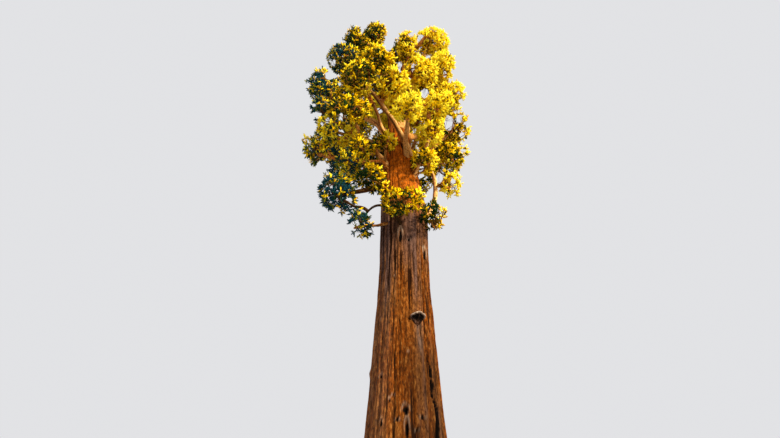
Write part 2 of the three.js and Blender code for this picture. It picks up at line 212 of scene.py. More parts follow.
# Long strips of weathered bark: azimuth, lowest and highest point, half width in degrees, greyness (below 0: redder).
# The wide red first strip, high on the front, is painted light where the crown's shadow falls on the trunk.
STRIPS = np.array([
    [275.0, 12.2, 20.0, 34.0, -1.0], [229.0, 7.0, 12.5, 4.0, 0.7], [237.5, 7.6, 10.0, 2.6, 0.55], [211.0, 8.4, 13.0, 6.0, 0.7], [295.0, 7.6, 12.5, 4.5, 0.8],
    [301.0, 3.0, 6.6, 2.2, 0.6], [266.0, 0.0, 9.0, 8.0, -0.8], [281.0, 3.0, 8.6, 5.0, -0.7], [251.0, 0.0, 8.0, 6.0, -0.35],
    [316.0, 6.0, 10.5, 4.5, -0.8], [308.0, 0.0, 6.5, 7.0, -0.9], [329.0, 0.0, 6.0, 3.0, 0.3], [205.0, 1.0, 8.0, 5.0, 0.3], [283.0, 9.5, 12.5, 6.0, 0.5],
    [30.0, 2.0, 8.0, 6.0, 0.6], [70.0, 0.0, 9.0, 8.0, -0.6], [110.0, 4.0, 12.0, 5.0, 0.7], [150.0, 0.0, 7.0, 7.0, -0.5],
    [175.0, 6.0, 12.0, 5.0, 0.6], [355.0, 1.0, 11.0, 6.0, -0.5],
])
BURL_AT = (293.0, 6.88)


def bark_relief(az, z, cells=1.0, deep=1.0):
    """(relief outwards in metres, how deep in a furrow from 0 to 1, tone of the ridge from -1 to 1)"""
    n = lambda k: max(5, int(round(k * cells)))
    u = az / 360.0
    u = u + (0.008 * wave(u, z * 0.10, n(7), 1) + 0.0030 * wave(u, z * 0.42, n(23), 2)) / cells
    a = 0.75 * wave(u, z * 0.20 + 3, n(58), 3) + 0.45 * wave(u, z * 0.55, n(92), 4)
    b = wave(u + 0.002 * wave(u, z * 1.3, n(50), 5) / cells, z * 0.95 + 9, n(140), 6)
    c = wave(u, z * 2.6, n(185), 7)
    broad = 1 - step(0.02, 0.58, -a)
    seam = 1 - np.clip(np.abs(a - 0.12) / 0.16, 0, 1)
    narrow = 1 - step(0.02, 0.62, -b)
    swell = wave(u, z * 0.05 + 40, n(9), 8)
    relief = 0.014 - 0.056 * (1 - broad) - 0.018 * seam - 0.026 * (1 - narrow) * (0.35 + 0.65 * broad) + 0.010 * c + 0.03 * swell
    cavity = np.clip(0.50 * (1 - broad) + 0.30 * seam + 0.50 * (1 - narrow) + 0.14 * c, 0, 1)
    tone = wave(u, z * 0.13 + 70, n(34), 9) * 0.6 + wave(u, z * 0.4 + 20, n(100), 10) * 0.6
    return relief * deep, cavity, tone


def trunk_skin(az, z):
    """Points of the trunk's bark and their marks (cavity, grey, dark, pale)."""
    z = np.asarray(z, float)
    upper = step(17.5, 22.5, z)
    low_relief, low_cavity, low_tone = bark_relief(az, z)
    up_relief, up_cavity, up_tone = bark_relief(az, z * 1.6, 0.42, 0.5)
    size = station(z)[..., 0]
    up_relief = up_relief * np.clip(size / 1.3, 0.15, 1)
    relief = low_relief * (1 - upper) + up_relief * upper
    cavity = low_cavity * (1 - upper) + up_cavity * upper
    tone = low_tone * (1 - upper) + up_tone * upper
    # softer and finer bark where the crown opens on the trunk
    window = step(12.0, 13.2, z) * (1 - step(16.8, 18.0, z))
    relief, cavity = relief * (1 - 0.45 * window), cavity * (1 - 0.40 * window)
    r = trunk_radius(az, z)
    dark = np.zeros(relief.shape)
    pale = np.zeros(relief.shape)
    grey = np.clip(0.5 + 0.5 * tone, 0, 1) * 0.55
    # grey and purple towards the top of the clear stem
    grey = grey + 0.42 * step(8.2, 11.5, z) * (1 - step(13.5, 15.5, z))
    for a, lo, hi, wide, how in STRIPS:
        here = np.exp(-((signed(az + 1.2 * wave(az / 360.0, z * 0.3, 40, 11), a) / wide) ** 2)) * step(lo - 0.6, lo + 1.2, z) * (1 - step(hi - 1.2, hi + 0.6, z))
        grey = grey + here * how
    # the cleft, with loose stretches of bark across it higher up
    inside = z < CLEFT[-1, 0]
    line, half, deep = (np.interp(z, CLEFT[:, 0], CLEFT[:, k]) for k in (1, 2, 3))
    line = line + 0.4 * wave(z * 0.0, z * 2.3, 5, 12)
    off = np.radians(signed(az, line)) * r
    open_here = 1 - step(5.4, 6.0, z) * (1 - step(-0.62, 0.1, wave(z * 0.0, z * 1.7 + 5, 5, 13)))
    cut = np.exp(-((off / half) ** 4)) * inside * (0.25 + 0.75 * open_here)
    relief = relief - cut * deep
    # painted shade along the dark line inside the cleft
    shade = 1 - step(0.95, 1.3, np.abs(off - 0.12 * half) / half)
    dark = np.maximum(dark, shade * inside * (0.25 + 0.75 * open_here) * (1 - 0.5 * step(5.4, 6.2, z)) * (0.4 + 0.6 * step(0.02, 0.06, half)))
    lip = np.exp(-(((off - half * 1.9) / (half * 0.5 + 0.01)) ** 2)) * inside * (1 - step(4.2, 4.8, z))
    relief = relief + 0.03 * lip
    cavity = np.clip(cavity - 0.5 * lip, 0, 1)
    for a, h, wide, tall, depth in HOLES:
        x, y = np.radians(signed(az, a)) * r, z - h
        d = np.sqrt((x / wide) ** 2 + (y / tall) ** 2) + 0.25 * wave(az / 360.0, z * 5.0, 90, 14)
        relief = relief - depth * (1 - step(0.35, 1.15, d))
        # painted shade inside each hole
        dark = np.maximum(dark, 1 - step(0.55, 1.1, d))
        rim = np.exp(-(((d - 1.45) / 0.3) ** 2)) * np.clip(0.5 + y / tall, 0, 1)
        relief = relief + 0.018 * rim
        pale = np.maximum(pale, 0.35 * rim)
    # below and behind the burl
    x, y = np.radians(signed(az, BURL_AT[0])) * r, z - BURL_AT[1]
    relief = relief - 0.12 * np.exp(-((x / 0.14) ** 4)) * np.exp(-((y / 0.12) ** 4))
    below = np.exp(-((np.radians(signed(az, 295.6 + 1.0 * (6.4 - z))) * r / (0.10 - 0.02 * (6.6 - z))) ** 2)) * step(5.2, 6.2, z) * (1 - step(6.7, 6.95, z))
    below = below * np.clip(0.65 + 0.9 * wave(az / 360.0, z * 2.2, 120, 16), 0, 1)
    grey = grey + 0.7 * below
    pale = np.maximum(pale, 0.10 * below)
    relief = relief + 0.02 * below
    # Low down, painted light and painted shade: the bark left of the front is painted a little lighter, and the red
    # side, which faces the key sun, darker.
    left = np.exp(-((signed(az, 220) / 26) ** 4)) * (1 - step(7.0, 9.0, z))
    cavity = np.clip(cavity - 0.26 * left, 0, 1)
    pale = np.maximum(pale, 0.04 * left)
    grey = grey - 0.25 * left
    dark = np.maximum(dark, 0.46 * np.exp(-((signed(az, 299) / 50) ** 4)) * (1 - step(5.2, 8.2, z)))
    # painted shadow of the crown's foot on the trunk
    dark = np.maximum(dark, 0.36 * np.exp(-((signed(az, 264) / 21) ** 4)) * step(10.0, 11.2, z) * (1 - step(12.4, 13.2, z)))
    # a low knob on the left
    relief = relief + 0.045 * np.exp(-((np.radians(signed(az, 190.0)) * r / 0.12) ** 2) - ((z - 5.3) / 0.12) ** 2)
    # charring and damp at the foot
    dark = np.maximum(dark, 0.35 * step(0.2, 0.9, wave(az / 360.0, z * 0.5, 12, 15)) * (1 - step(1.0, 3.2, z)))
    out = r + relief
    s = station(z)
    t = np.radians(az)
    p = np.stack([s[..., 1] + out * np.cos(t), s[..., 2] + out * np.sin(t), z + 0 * out], axis=-1)
    return p, np.stack([cavity, np.clip(grey, 0, 1), np.clip(dark, 0, 1), np.clip(pale, 0, 1)], axis=-1)


# ---------------------------------------------------------------- meshes
def mesh_object(name, verts, tris, materials, marks=None, which=None, flat=False):
    verts = np.ascontiguousarray(verts, np.float32).reshape(-1, 3)
    tris = np.ascontiguousarray(tris, np.int32).reshape(-1, 3)
    me = bpy.data.meshes.new(name)
    me.vertices.add(len(verts))
    me.vertices.foreach_set("co", verts.ravel())
    me.loops.add(tris.size)
    me.polygons.add(len(tris))
    me.polygons.foreach_set("loop_start", np.arange(0, tris.size, 3, dtype=np.int32))
    me.loops.foreach_set("vertex_index", tris.ravel())
    for m in materials:
        me.materials.append(m)
    if which is not None:
        me.polygons.foreach_set("material_index", np.ascontiguousarray(which, np.int32))
    me.update(calc_edges=True)
    me.validate()
    me.polygons.foreach_set("use_smooth", np.full(len(me.polygons), not flat))
    if marks is not None:
        attribute = me.color_attributes.new("marks", "FLOAT_COLOR", "POINT")
        attribute.data.foreach_set("color", np.ascontiguousarray(marks, np.float32).ravel())
    o = bpy.data.objects.new(name, me)
    bpy.context.scene.collection.objects.link(o)
    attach(o, "root")
    return o


def grid_faces(rows, cols, closed=True):
    """Triangles over a grid of rows x cols points, the columns going round."""
    last = cols if closed else cols - 1
    i, j = np.meshgrid(np.arange(rows - 1), np.arange(last), indexing="ij")
    a, b = i * cols + j, i * cols + (j + 1) % cols
    c, d = b + cols, a + cols
    return np.concatenate([np.stack([a, b, c], -1).reshape(-1, 3), np.stack([a, c, d], -1).reshape(-1, 3)])


def capped(points, marks, rows, cols, bottom=True, top=True):
    """A closed skin from a grid of rings, with a flat fan over each end."""
    verts, faces, mk = [points.reshape(-1, 3)], [grid_faces(rows, cols)], [marks.reshape(-1, 4)]
    n = rows * cols
    j = np.arange(cols)
    for at, on, up in ((0, bottom, False), (rows - 1, top, True)):
        if not on:
            continue
        verts.append(points[at].mean(0, keepdims=True))
        mk.append(marks[at].mean(0, keepdims=True))
        a, b = at * cols + j, at * cols + (j + 1) % cols
        faces.append(np.stack([np.full(cols, n), a, b] if up else [np.full(cols, n), b, a], -1))
        n += 1
    return np.concatenate(verts), np.concatenate(faces), np.concatenate(mk)


# ---------------------------------------------------------------- materials
def colour(r, g, b):
    """A colour given as in a paint program, 0 to 255."""
    return tuple((c / 255 / 12.92) if c / 255 <= 0.04045 else ((c / 255 + 0.055) / 1.055) ** 2.4 for c in (r, g, b)) + (1.0,)


class Tree:
    """A short way to write shader nodes."""

    def __init__(self, name):
        self.material = bpy.data.materials.new(name)
        self.material.use_nodes = True
        self.nt = self.material.node_tree
        self.shader = self.nt.nodes["Principled BSDF"]

    def add(self, kind, **values):
        n = self.nt.nodes.new(kind)
        for k, v in values.items():
            setattr(n, k, v)
        return n

    def link(self, a, b):
        self.nt.links.new(a, b)

    def set(self, socket, value):
        if hasattr(value, "is_output"):
            self.link(value, socket)
        else:
            socket.default_value = value

    def maths(self, operation, a, b=0.5, c=None, clamp=False):
        n = self.add("ShaderNodeMath", operation=operation, use_clamp=clamp)
        self.set(n.inputs[0], a)
        self.set(n.inputs[1], b)
        if c is not None:
            self.set(n.inputs[2], c)
        return n.outputs[0]

    def mix(self, share, a, b, blend="MIX"):
        n = self.add("ShaderNodeMix", data_type="RGBA", blend_type=blend, clamp_result=False)
        self.set(n.inputs[0], share)
        self.set(n.inputs[6], a)
        self.set(n.inputs[7], b)
        return n.outputs[2]

    def ramp(self, value, lo, hi):
        n = self.add("ShaderNodeMapRange", interpolation_type="SMOOTHSTEP")
        self.set(n.inputs[0], value)
        n.inputs[1].default_value, n.inputs[2].default_value = lo, hi
        return n.outputs[0]

    def noise(self, scale, size, detail=3.0, rough=0.55, distortion=0.0):
        if not hasattr(self, "coords"):
            self.coords = self.add("ShaderNodeTexCoord").outputs["Object"]
        m = self.add("ShaderNodeMapping")
        m.inputs["Scale"].default_value = scale
        self.link(self.coords, m.inputs["Vector"])
        n = self.add("ShaderNodeTexNoise")
        n.inputs["Scale"].default_value = size
        n.inputs["Detail"].default_value = detail
        n.inputs["Roughness"].default_value = rough
        n.inputs["Distortion"].default_value = distortion
        self.link(m.outputs[0], n.inputs["Vector"])
        return n.outputs["Fac"]


def bark_material(name, ridge, red, furrow, greyed, lit, bleached_and_lit, stretch, bump, high=None):
    t = Tree(name)
    marks = t.add("ShaderNodeVertexColor", layer_name="marks")
    parts = t.add("ShaderNodeSeparateColor")
    t.link(marks.outputs["Color"], parts.inputs[0])
    cavity, grey, dark = parts.outputs[0], parts.outputs[1], parts.outputs[2]
    pale = marks.outputs["Alpha"]
    fibre = t.noise(stretch, 1.0, 6.0, 0.66)
    strand = t.noise(tuple(2.8 * s for s in stretch[:2]) + (stretch[2] * 1.6,), 1.0, 4.0, 0.7)
    fleck = t.noise(tuple(1.5 * s for s in stretch[:2]) + (stretch[2] * 5.0,), 1.0, 5.0, 0.7)
    patch = t.noise((0.9, 0.9, 0.35), 1.0, 3.0, 0.5)
    grain = t.noise(tuple(0.8 * s for s in stretch[:2]) + (stretch[2] * 3.2,), 1.0, 3.0, 0.62)
    deep = t.maths("ADD", patch, t.maths("MULTIPLY", t.maths("SUBTRACT", 0.22, grey), 0.55))
    c = t.mix(t.ramp(deep, 0.40, 0.66), ridge, red)
    # a brighter colour higher up: painted light where the crown shades the trunk
    if high:
        place = t.add("ShaderNodeSeparateXYZ")
        t.link(t.coords, place.inputs[0])
        c = t.mix(t.maths("MULTIPLY", t.ramp(place.outputs[2], high[0], high[1]), 0.85), c, high[2])
    c = t.mix(t.maths("MULTIPLY", t.ramp(strand, 0.52, 0.66), 0.50), c, lit)
    c = t.mix(t.maths("MULTIPLY", t.ramp(grain, 0.54, 0.66), 0.62), c, lit)
    g = t.maths("MULTIPLY", grey, t.ramp(t.maths("ADD", fibre, t.maths("MULTIPLY", grey, 0.35)), 0.42, 0.72))
    c = t.mix(g, c, greyed)
    c = t.mix(t.maths("MULTIPLY", t.ramp(fibre, 0.53, 0.38), 0.60), c, furrow)
    c = t.mix(t.maths("MULTIPLY", t.ramp(fleck, 0.54, 0.64), 0.66), c, furrow)
    c = t.mix(t.maths("MULTIPLY", t.ramp(strand, 0.46, 0.36), 0.55), c, furrow)
    c = t.mix(t.maths("MULTIPLY", t.ramp(grain, 0.47, 0.36), 0.62), c, furrow)
    # darker by cavity: the furrows' own darker bark, and painted shade in them
    c = t.mix(t.ramp(t.maths("ADD", cavity, t.maths("MULTIPLY", t.maths("SUBTRACT", fleck, 0.5), 0.7)), 0.22, 0.80), c, furrow)
    # paler by the pale mark: bleached bark, and painted light on the boughs and low on the trunk's left
    c = t.mix(t.maths("MULTIPLY", pale, t.ramp(fibre, 0.25, 0.6)), c, bleached_and_lit)
    c = t.mix(t.ramp(dark, 0.15, 0.75), c, colour(14, 8, 6))
    t.link(c, t.shader.inputs["Base Color"])
    t.shader.inputs["Roughness"].default_value = 0.9
    t.shader.inputs["Specular IOR Level"].default_value = 0.03
    height = t.maths("ADD", t.maths("MULTIPLY", fibre, 0.5), t.maths("MULTIPLY", fleck, -0.5))
    b = t.add("ShaderNodeBump")
    b.inputs["Strength"].default_value = 0.9
    b.inputs["Distance"].default_value = bump
    t.link(height, b.inputs["Height"])
    t.link(b.outputs[0], t.shader.inputs["Normal"])
    return t.material


# the trunk's bark above about 12 m is painted brighter orange, painted light under the crown's shadow
TRUNK_BARK = bark_material(
    "trunk_bark", colour(115, 66, 23), colour(111, 52, 4), colour(36, 16, 5), colour(99, 71, 61), colour(171, 110, 51), colour(206, 180, 158), (17.0, 17.0, 1.7), 0.03,
    (11.8, 13.6, colour(200, 100, 10)),
)
BOUGH_BARK = bark_material(
    "bough_bark", colour(214, 138, 58), colour(200, 108, 24), colour(78, 38, 10), colour(158, 112, 66), colour(255, 204, 124), colour(255, 210, 136), (13.0, 13.0, 4.0), 0.014
)


def plain(name, base, rough=0.6):
    t = Tree(name)
    t.shader.inputs["Base Color"].default_value = base
    t.shader.inputs["Roughness"].default_value = rough
    t.shader.inputs["Specular IOR Level"].default_value = 0.02
    return t.material


TWIG_BARK = plain("twig_bark", colour(98, 64, 30), 0.8)
TINTS = [
    plain("needles_" + name, colour(*rgb), 0.85)
    for name, rgb in (
        ("blue_green", (19, 57, 67)),
        ("deep_green", (30, 52, 20)),
        ("dark_olive", (66, 62, 8)),
        ("olive", (114, 92, 3)),
        ("amber", (166, 124, 2)),
        ("old_gold", (210, 158, 3)),
        ("gold", (246, 194, 4)),
        ("bright_gold", (255, 209, 8)),
        ("pale_gold", (255, 228, 50)),
        ("shade_green", (36, 68, 48)),
        ("moss", (94, 104, 26)),
        ("sage", (144, 138, 30)),
    )
]

# ---------------------------------------------------------------- the trunk's bark
LOWER_ROWS, LOWER_COLS = 224, 336
UPPER_ROWS, UPPER_COLS = 100, 120


def trunk_piece(name, z, cols, bottom, top):
    az = np.arange(cols) * 360.0 / cols
    a, h = np.meshgrid(az, z)
    p, marks = trunk_skin(a, h)
    v, f, m = capped(p, marks, len(z), cols, bottom, top)
    o = mesh_object(name, v, f, [TRUNK_BARK], m)
    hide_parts("trunk")
    return o


lower_z = SEAM * (np.linspace(0, 1, LOWER_ROWS) ** 1.06)
trunk_piece("bark_trunk_lower", lower_z, LOWER_COLS, True, False)
trunk_piece("bark_trunk_upper", np.linspace(SEAM - 0.02, TRUNK_TOP, UPPER_ROWS), UPPER_COLS, False, True)

# ---------------------------------------------------------------- the burl: a pale lip over two hollows that runs out downwards
BURL_SIZE = (0.25, 0.235, 0.2)  # out, across, up


def burl_piece():
    rows, cols = 70, 100
    v, u = np.meshgrid(np.linspace(0.02, math.pi - 0.02, rows), 2 * np.pi * np.arange(cols) / cols, indexing="ij")
    d = np.stack([np.sin(v) * np.cos(u), np.sin(v) * np.sin(u), np.cos(v)], -1)  # out, across (to the right), up
    rough = 0.6 * field(d, 0.34, 61) + 0.4 * field(d, 0.15, 62)
    ragged = field(d, 0.22, 65)
    front = step(-0.25, 0.2, d[..., 0])
    # the lip is highest in the middle and comes down to both sides
    over = d[..., 2] - (0.40 - 0.42 * np.abs(d[..., 1] + 0.08)) + 0.06 * ragged
    lip = np.exp(-(((over - 0.10) / 0.10) ** 2)) * front
    left = np.exp(-(((d[..., 1] + 0.62 + 0.08 * ragged) / 0.40) ** 4)) * step(0.04, -0.08, over) * step(-0.62, -0.36, d[..., 2] + 0.12 * ragged)
    right = np.exp(-(((d[..., 1] - 0.44 + 0.08 * ragged) / 0.46) ** 4)) * step(0.04, -0.08, over) * step(-0.74, -0.42, d[..., 2] + 0.12 * ragged)
    hollow = np.maximum(left, right) * front
    fade = step(0.0, -0.95, d[..., 2])
    size = 1 + 0.10 * rough + 0.20 * lip - 0.42 * hollow
    local = d * size[..., None] * np.array(BURL_SIZE)
    local = local * np.stack([1 - 0.9 * fade, 1 - 0.35 * fade, 1 + 0.4 * fade], -1)
    r = float(trunk_radius(np.array(BURL_AT[0]), np.array(BURL_AT[1]))) + 0.03
    c, s = math.cos(math.radians(BURL_AT[0])), math.sin(math.radians(BURL_AT[0]))
    out, across = r + local[..., 0], local[..., 1]
    p = np.stack([out * c - across * s, out * s + across * c, BURL_AT[1] + local[..., 2]], -1)
    pale = np.clip(0.85 * lip, 0, 1) * (1 - hollow)
    cavity = np.clip(0.25 - 0.8 * rough + 0.35 * fade, 0, 1) * (1 - pale)
    # painted shade in the two hollows
    marks = np.stack([cavity, np.clip(0.85 + 0.4 * rough, 0, 1) * (1 - step(0.25, 0.5, over)), np.clip(1.1 * hollow + 0.30, 0, 1) * (1 - lip), 0.9 * pale], -1)
    v3, f3, m3 = capped(p, marks, rows, cols)
    o = mesh_object("bark_burl", v3, f3[:, ::-1], [TRUNK_BARK], m3)
    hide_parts("trunk_burl")


burl_piece()

# ---------------------------------------------------------------- boughs: the same named sizes as the part's
# name, root [azimuth, reach, height], elbow, end, radius at the root, radius at the end
BOUGHS = [
    ("front_left", (309, 0.6, 17.3), (260, 2.23, 19.3), (232, 4.3, 20.9), 0.17, 0.09),
    ("mid_left", (211, 0.6, 17.6), (227, 1.63, 19.0), (225, 2.6, 21.0), 0.16, 0.09),
    ("left_arch", (219, 0.64, 15.7), (214, 2.52, 18.3), (200, 3.8, 17.9), 0.16, 0.085),
    ("left_low", (211, 0.58, 15.2), (205, 1.9, 14.0), (197, 3.4, 13.5), 0.17, 0.09),
    ("left_brown", (180, 0.5, 17.6), (191, 2.1, 16.5), (180, 5.2, 18.3), 0.22, 0.1),
    ("left_up", (180, 0.5, 19.8), (193, 2.6, 22.5), (179, 5.8, 25.0), 0.24, 0.1),
    ("right_elbow", (0, 0.7, 12.3), (0, 2.25, 14.0), (15, 1.45, 17.6), 0.15, 0.09),
    ("right_tip", (346, 0.4, 16.8), (350, 1.95, 18.6), (353, 3.2, 20.2), 0.16, 0.09),
    ("right_front", (307, 0.5, 15.0), (310, 1.6, 15.6), (306, 2.5, 17.0), 0.15, 0.09),
    ("front_up", (297, 0.45, 16.7), (273, 1.7, 17.3), (275, 3.5, 17.2), 0.16, 0.09),
    ("left_foot", (268, 0.85, 11.25), (248, 2.45, 12.5), (212, 2.15, 11.6), 0.07, 0.04),
    ("front_foot", (243, 0.7, 11.7), (261, 2.0, 12.2), (272, 2.3, 11.5), 0.09, 0.05),
    ("right_leader", (207, 0.25, 20.0), (335, 0.5, 26.0), (332, 3.0, 33.2), 0.44, 0.12),
    ("mid_peak", (325, 0.35, 25.0), (280, 0.8, 28.0), (274, 1.35, 32.2), 0.2, 0.1),
    ("back_left", (143, 0.5, 19.3), (140, 2.3, 21.5), (148, 4.9, 24.8), 0.24, 0.12),
    ("back_right", (56, 0.4, 20.5), (53, 2.0, 22.5), (47, 4.1, 25.6), 0.22, 0.12),
]


def polar(p):
    a = math.radians(p[0])
    return np.array([p[1] * math.cos(a), p[1] * math.sin(a), p[2]])


def bough_curve(row, t):
    a, b, c = polar(row[1]), polar(row[2]), polar(row[3])
    t = np.asarray(t)[:, None]
    return (1 - t) ** 2 * a + 2 * t * (1 - t) * b + t**2 * c


def frames_along(p):
    """Unit vectors along a line of points and two across it that don't twist."""
    along = unit(np.gradient(p, axis=0))
    side = np.empty_like(p)
    first = np.cross(along[0], [0, 0, 1.0])
    if np.linalg.norm(first) < 0.2:
        first = np.cross(along[0], [0, 1.0, 0])
    side[0] = unit(first)
    for i in range(1, len(p)):
        s = side[i - 1] - (side[i - 1] @ along[i]) * along[i]
        side[i] = s / max(np.linalg.norm(s), 1e-9)
    return along, side, np.cross(along, side)


def bough_piece(index, row):
    name, r0, r1 = row[0], row[4], row[5]
    line = bough_curve(row, np.linspace(0, 1, 200))
    length = np.linalg.norm(np.diff(line, axis=0), axis=1).sum()
    rows, cols = max(30, int(length / 0.075)), 24 if r0 > 0.15 else 16
    t = np.linspace(0, 1, rows)
    p = bough_curve(row, t)
    seed = 200 + index
    along, side, up = frames_along(p)
    s = t * length
    sway = wave(s * 0, s * 0.9, 5, seed) * step(0, 0.8, s), wave(s * 0, s * 0.9 + 30, 5, seed + 50) * step(0, 0.8, s)
    p = p + (side * sway[0][:, None] + up * sway[1][:, None]) * 0.32 * r0
    along, side, up = frames_along(p)
    u, v = np.meshgrid(np.arange(cols) / cols, s)
    base = (r0 + (r1 - r0) * t) * (1 + 0.45 * np.exp(-t * 9))
    knots = 0.15 * wave(u, v * 1.5, 5, seed + 100) + 0.10 * wave(u, v * 3.4, 8, seed + 150)
    grain = wave(u + 0.05 * wave(u, v, 5, seed), v * 0.9, 11, seed + 200)
    groove = 1 - np.clip(np.abs(grain) / 0.4, 0, 1) ** 0.7
    r = base[:, None] * (1 + knots - 0.16 * groove)
    a = 2 * np.pi * u
    q = p[:, None] + side[:, None] * (r * np.cos(a))[..., None] + up[:, None] * (r * np.sin(a))[..., None]
    # painted light: the boughs that the sun reaches are less grey and paler (bright); painted shade: those in shadow
    # are darker (shaded)
    grey = np.clip(0.25 + 0.4 * wave(u, v * 0.6, 6, seed + 300), 0, 1) * (0.4 if name in ("front_left", "mid_left", "front_up", "left_arch") else 1.0)
    # painted shade on the underside and painted light on the top: the underside darker and the top paler
    top = (side[:, None] * np.cos(a)[..., None] + up[:, None] * np.sin(a)[..., None])[..., 2]
    shaded = {"left_low": 0.55, "left_foot": 0.66, "front_foot": 0.55, "left_brown": 0.20}.get(name, 0.0)
    bright = {"front_left": 0.34, "mid_left": 0.22, "left_arch": 0.40, "front_up": 0.30, "right_elbow": 0.4, "right_front": 0.3, "right_leader": 0.3}.get(name, 0.0 if shaded else 0.1)
    cavity = 0.65 * groove + 0.22 * np.clip(-top, 0, 1)
    pale = bright + (0.0 if shaded else 0.25) * np.clip(top, 0, 1)
    if name in ("front_left", "mid_left", "left_arch", "right_elbow", "right_front"):
        # painted light on the side that the sun reaches, paler, and painted shade, browner, on the other
        east = (side[:, None] * np.cos(a)[..., None] + up[:, None] * np.sin(a)[..., None])[..., 0] + 0.25 * top
        pale = pale + 0.55 * step(0.25, 0.75, east) - 0.3 * step(0.1, -0.4, east)
        cavity = cavity + 0.36 * step(0.15, -0.55, east)
    marks = np.stack([np.clip(cavity, 0, 1), grey, shaded + 0 * u, np.clip(pale, 0, 1)], -1)
    v3, f3, m3 = capped(q, marks, rows, cols)
    f3 = f3[:, ::-1] if np.dot(np.cross(q[0, 1] - q[0, 0], q[1, 0] - q[0, 0]), q[0, 0] - p[0]) < 0 else f3
    o = mesh_object("bark_bough_" + name, v3, f3, [BOUGH_BARK], m3)
    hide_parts("bough_" + name)
    return p, base


bough_lines = [bough_piece(i, row) for i, row in enumerate(BOUGHS)]

# ---------------------------------------------------------------- the room that each mass of foliage takes
masses = []
for node in sorted(NODES):
    if not node.startswith("foliage_"):
        continue
    me = NODES[node].data
    co = np.array([v.co for v in me.vertices], float)
    bvh = BVHTree.FromPolygons([tuple(v) for v in co], [tuple(p.vertices) for p in me.polygons])
    corners = np.array([co[list(p.vertices)] for p in me.polygons])
    lo, hi = co.min(0), co.max(0)
    masses.append({"name": node[8:], "bvh": bvh, "corners": corners, "lo": lo, "hi": hi, "centre": (np.unique(np.round(co, 5), axis=0).mean(0) + (lo + hi) / 2) / 2})
for m in masses:
    m["near"] = [k for k, o in enumerate(masses) if o is not m and (o["lo"] < m["hi"] + 0.3).all() and (o["hi"] > m["lo"] - 0.3).all()]


def ball(n, seed):
    """n even directions, turned at random."""
    k = np.arange(n) + 0.5
    z, a = 1 - 2 * k / n, k * math.pi * (3 - math.sqrt(5)) + seed
    s = np.sqrt(1 - z * z)
    return np.stack([s * np.cos(a), s * np.sin(a), z], -1)


def touching(point, mass, within):
    """True if another mass's skin is that near."""
    for k in mass["near"]:
        o = masses[k]
        if (point > o["lo"] - within).all() and (point < o["hi"] + within).all():
            if o["bvh"].find_nearest(Vector(point), within)[0] is not None:
                return True
    return False


# how much painted sunlight each mass's tints show, from 0 (deep shade) to 1
SUNNY = {
    "left_foot": 0.22, "front_foot": 0.51, "right_foot": 0.33, "left_low": 0.04, "left_low_inner": 0.56, "left_inner": 0.26,
    "right_low": 1.00, "right_inner": 0.70, "left_tip_low": 0.65, "left_mid": 0.89, "left_mid_front": 0.64, "front_mid": 0.91,
    "right_low_tip": 0.50, "right_mid": 1.19, "right_mid_tip": 0.60, "left_up_tip": 0.07, "left_up": 0.35, "left_up_front": 0.43,
    "mid_inner": 1.17, "front_up": 1.02, "right_up_front": 1.17, "right_up_tip": 0.93, "left_top_front": 0.60, "mid_top_front": 0.85,
    "mid_top_right": 0.98, "left_top_tip": 0.33, "left_top": 0.30, "left_peak": 0.34, "high_front": 0.70, "mid_peak": 0.83,
    "right_peak": 1.08, "right_top": 1.12, "back_low_left": 0.31, "back_mid_left": 0.56, "back_up_left": 0.44, "back_low": 0.52,
    "back_mid": 0.54, "back_up": 0.53, "back_top": 0.43, "back_low_right": 0.62, "back_mid_right": 0.88, "back_up_right": 0.72,
}


# ---------------------------------------------------------------- where the sky shows through the crown
# middle, half width and half height of each opening in the photograph's view
GAPS = np.array([
    (390, 41, 5, 8),
    (449, 123, 5, 8), (333, 63, 2.5, 3.5), (329, 76, 5.5, 4), (441, 199, 5.5, 6.5), (322, 166, 5.5, 6), (371, 221, 1.5, 2.5), (349, 202, 3, 3.5),
    (425, 93, 4.5, 5), (440, 177, 4, 6), (421, 39, 4, 4.5), (317, 115, 4.5, 3.5), (360, 194, 3.5, 5), (459, 119, 3.5, 4), (400, 67, 2.5, 6),
    (388, 48, 3, 4), (353, 226, 2.5, 4.5), (377, 207, 3, 4), (341, 133, 3.5, 3.5), (462, 135, 3, 3.5), (380, 111, 3.5, 3), (421, 169, 3, 3.5),
    (342, 116, 3, 3.5), (328, 120, 2.5, 3.5), (453, 181, 2.5, 3.5), (468, 124, 2, 4), (382, 131, 2, 3.5), (413, 67, 2, 3.5), (445, 74, 2, 3.5),
    (466, 158, 2, 3), (444, 221, 2.5, 3), (450, 80, 2, 3), (337, 209, 2, 3), (452, 71, 1.5, 3.5), (421, 176, 2.5, 2.5), (436, 182, 2, 2.5),
    (411, 35, 3, 1.5), (454, 79, 1.5, 3.5), (340, 84, 2.5, 2), (461, 101, 2.5, 2), (436, 189, 2, 2.5), (457, 112, 3, 1.5), (322, 124, 1.5, 3),
    (377, 128, 2, 2), (456, 188, 2, 2), (410, 71, 2, 2), (410, 78, 1.5, 2.5), (308, 85, 1.5, 3), (462, 151, 1.5, 2.5), (438, 216, 2, 2),
    (359, 233, 1.5, 3), (343, 42, 2.5, 1.5), (458, 93, 2.5, 1.5), (376, 193, 2, 1.5), (362, 32, 1.5, 2), (314, 105, 2.5, 1.5), (309, 142, 2.5, 1.5),
    (464, 91, 1.5, 2), (463, 146, 2, 1.5), (327, 160, 2, 1.5), (363, 169, 1.5, 2), (430, 196, 1, 3), (334, 204, 1.5, 1.5),
])


def seen(p):
    """Where points stand in the photograph's view."""
    q = (np.atleast_2d(p) - np.array(CAMERA_AT)) @ camera_turn()
    return MIDDLE_PX[0] - FOCAL_PX * q[:, 0] / q[:, 2], MIDDLE_PX[1] + FOCAL_PX * q[:, 1] / q[:, 2]


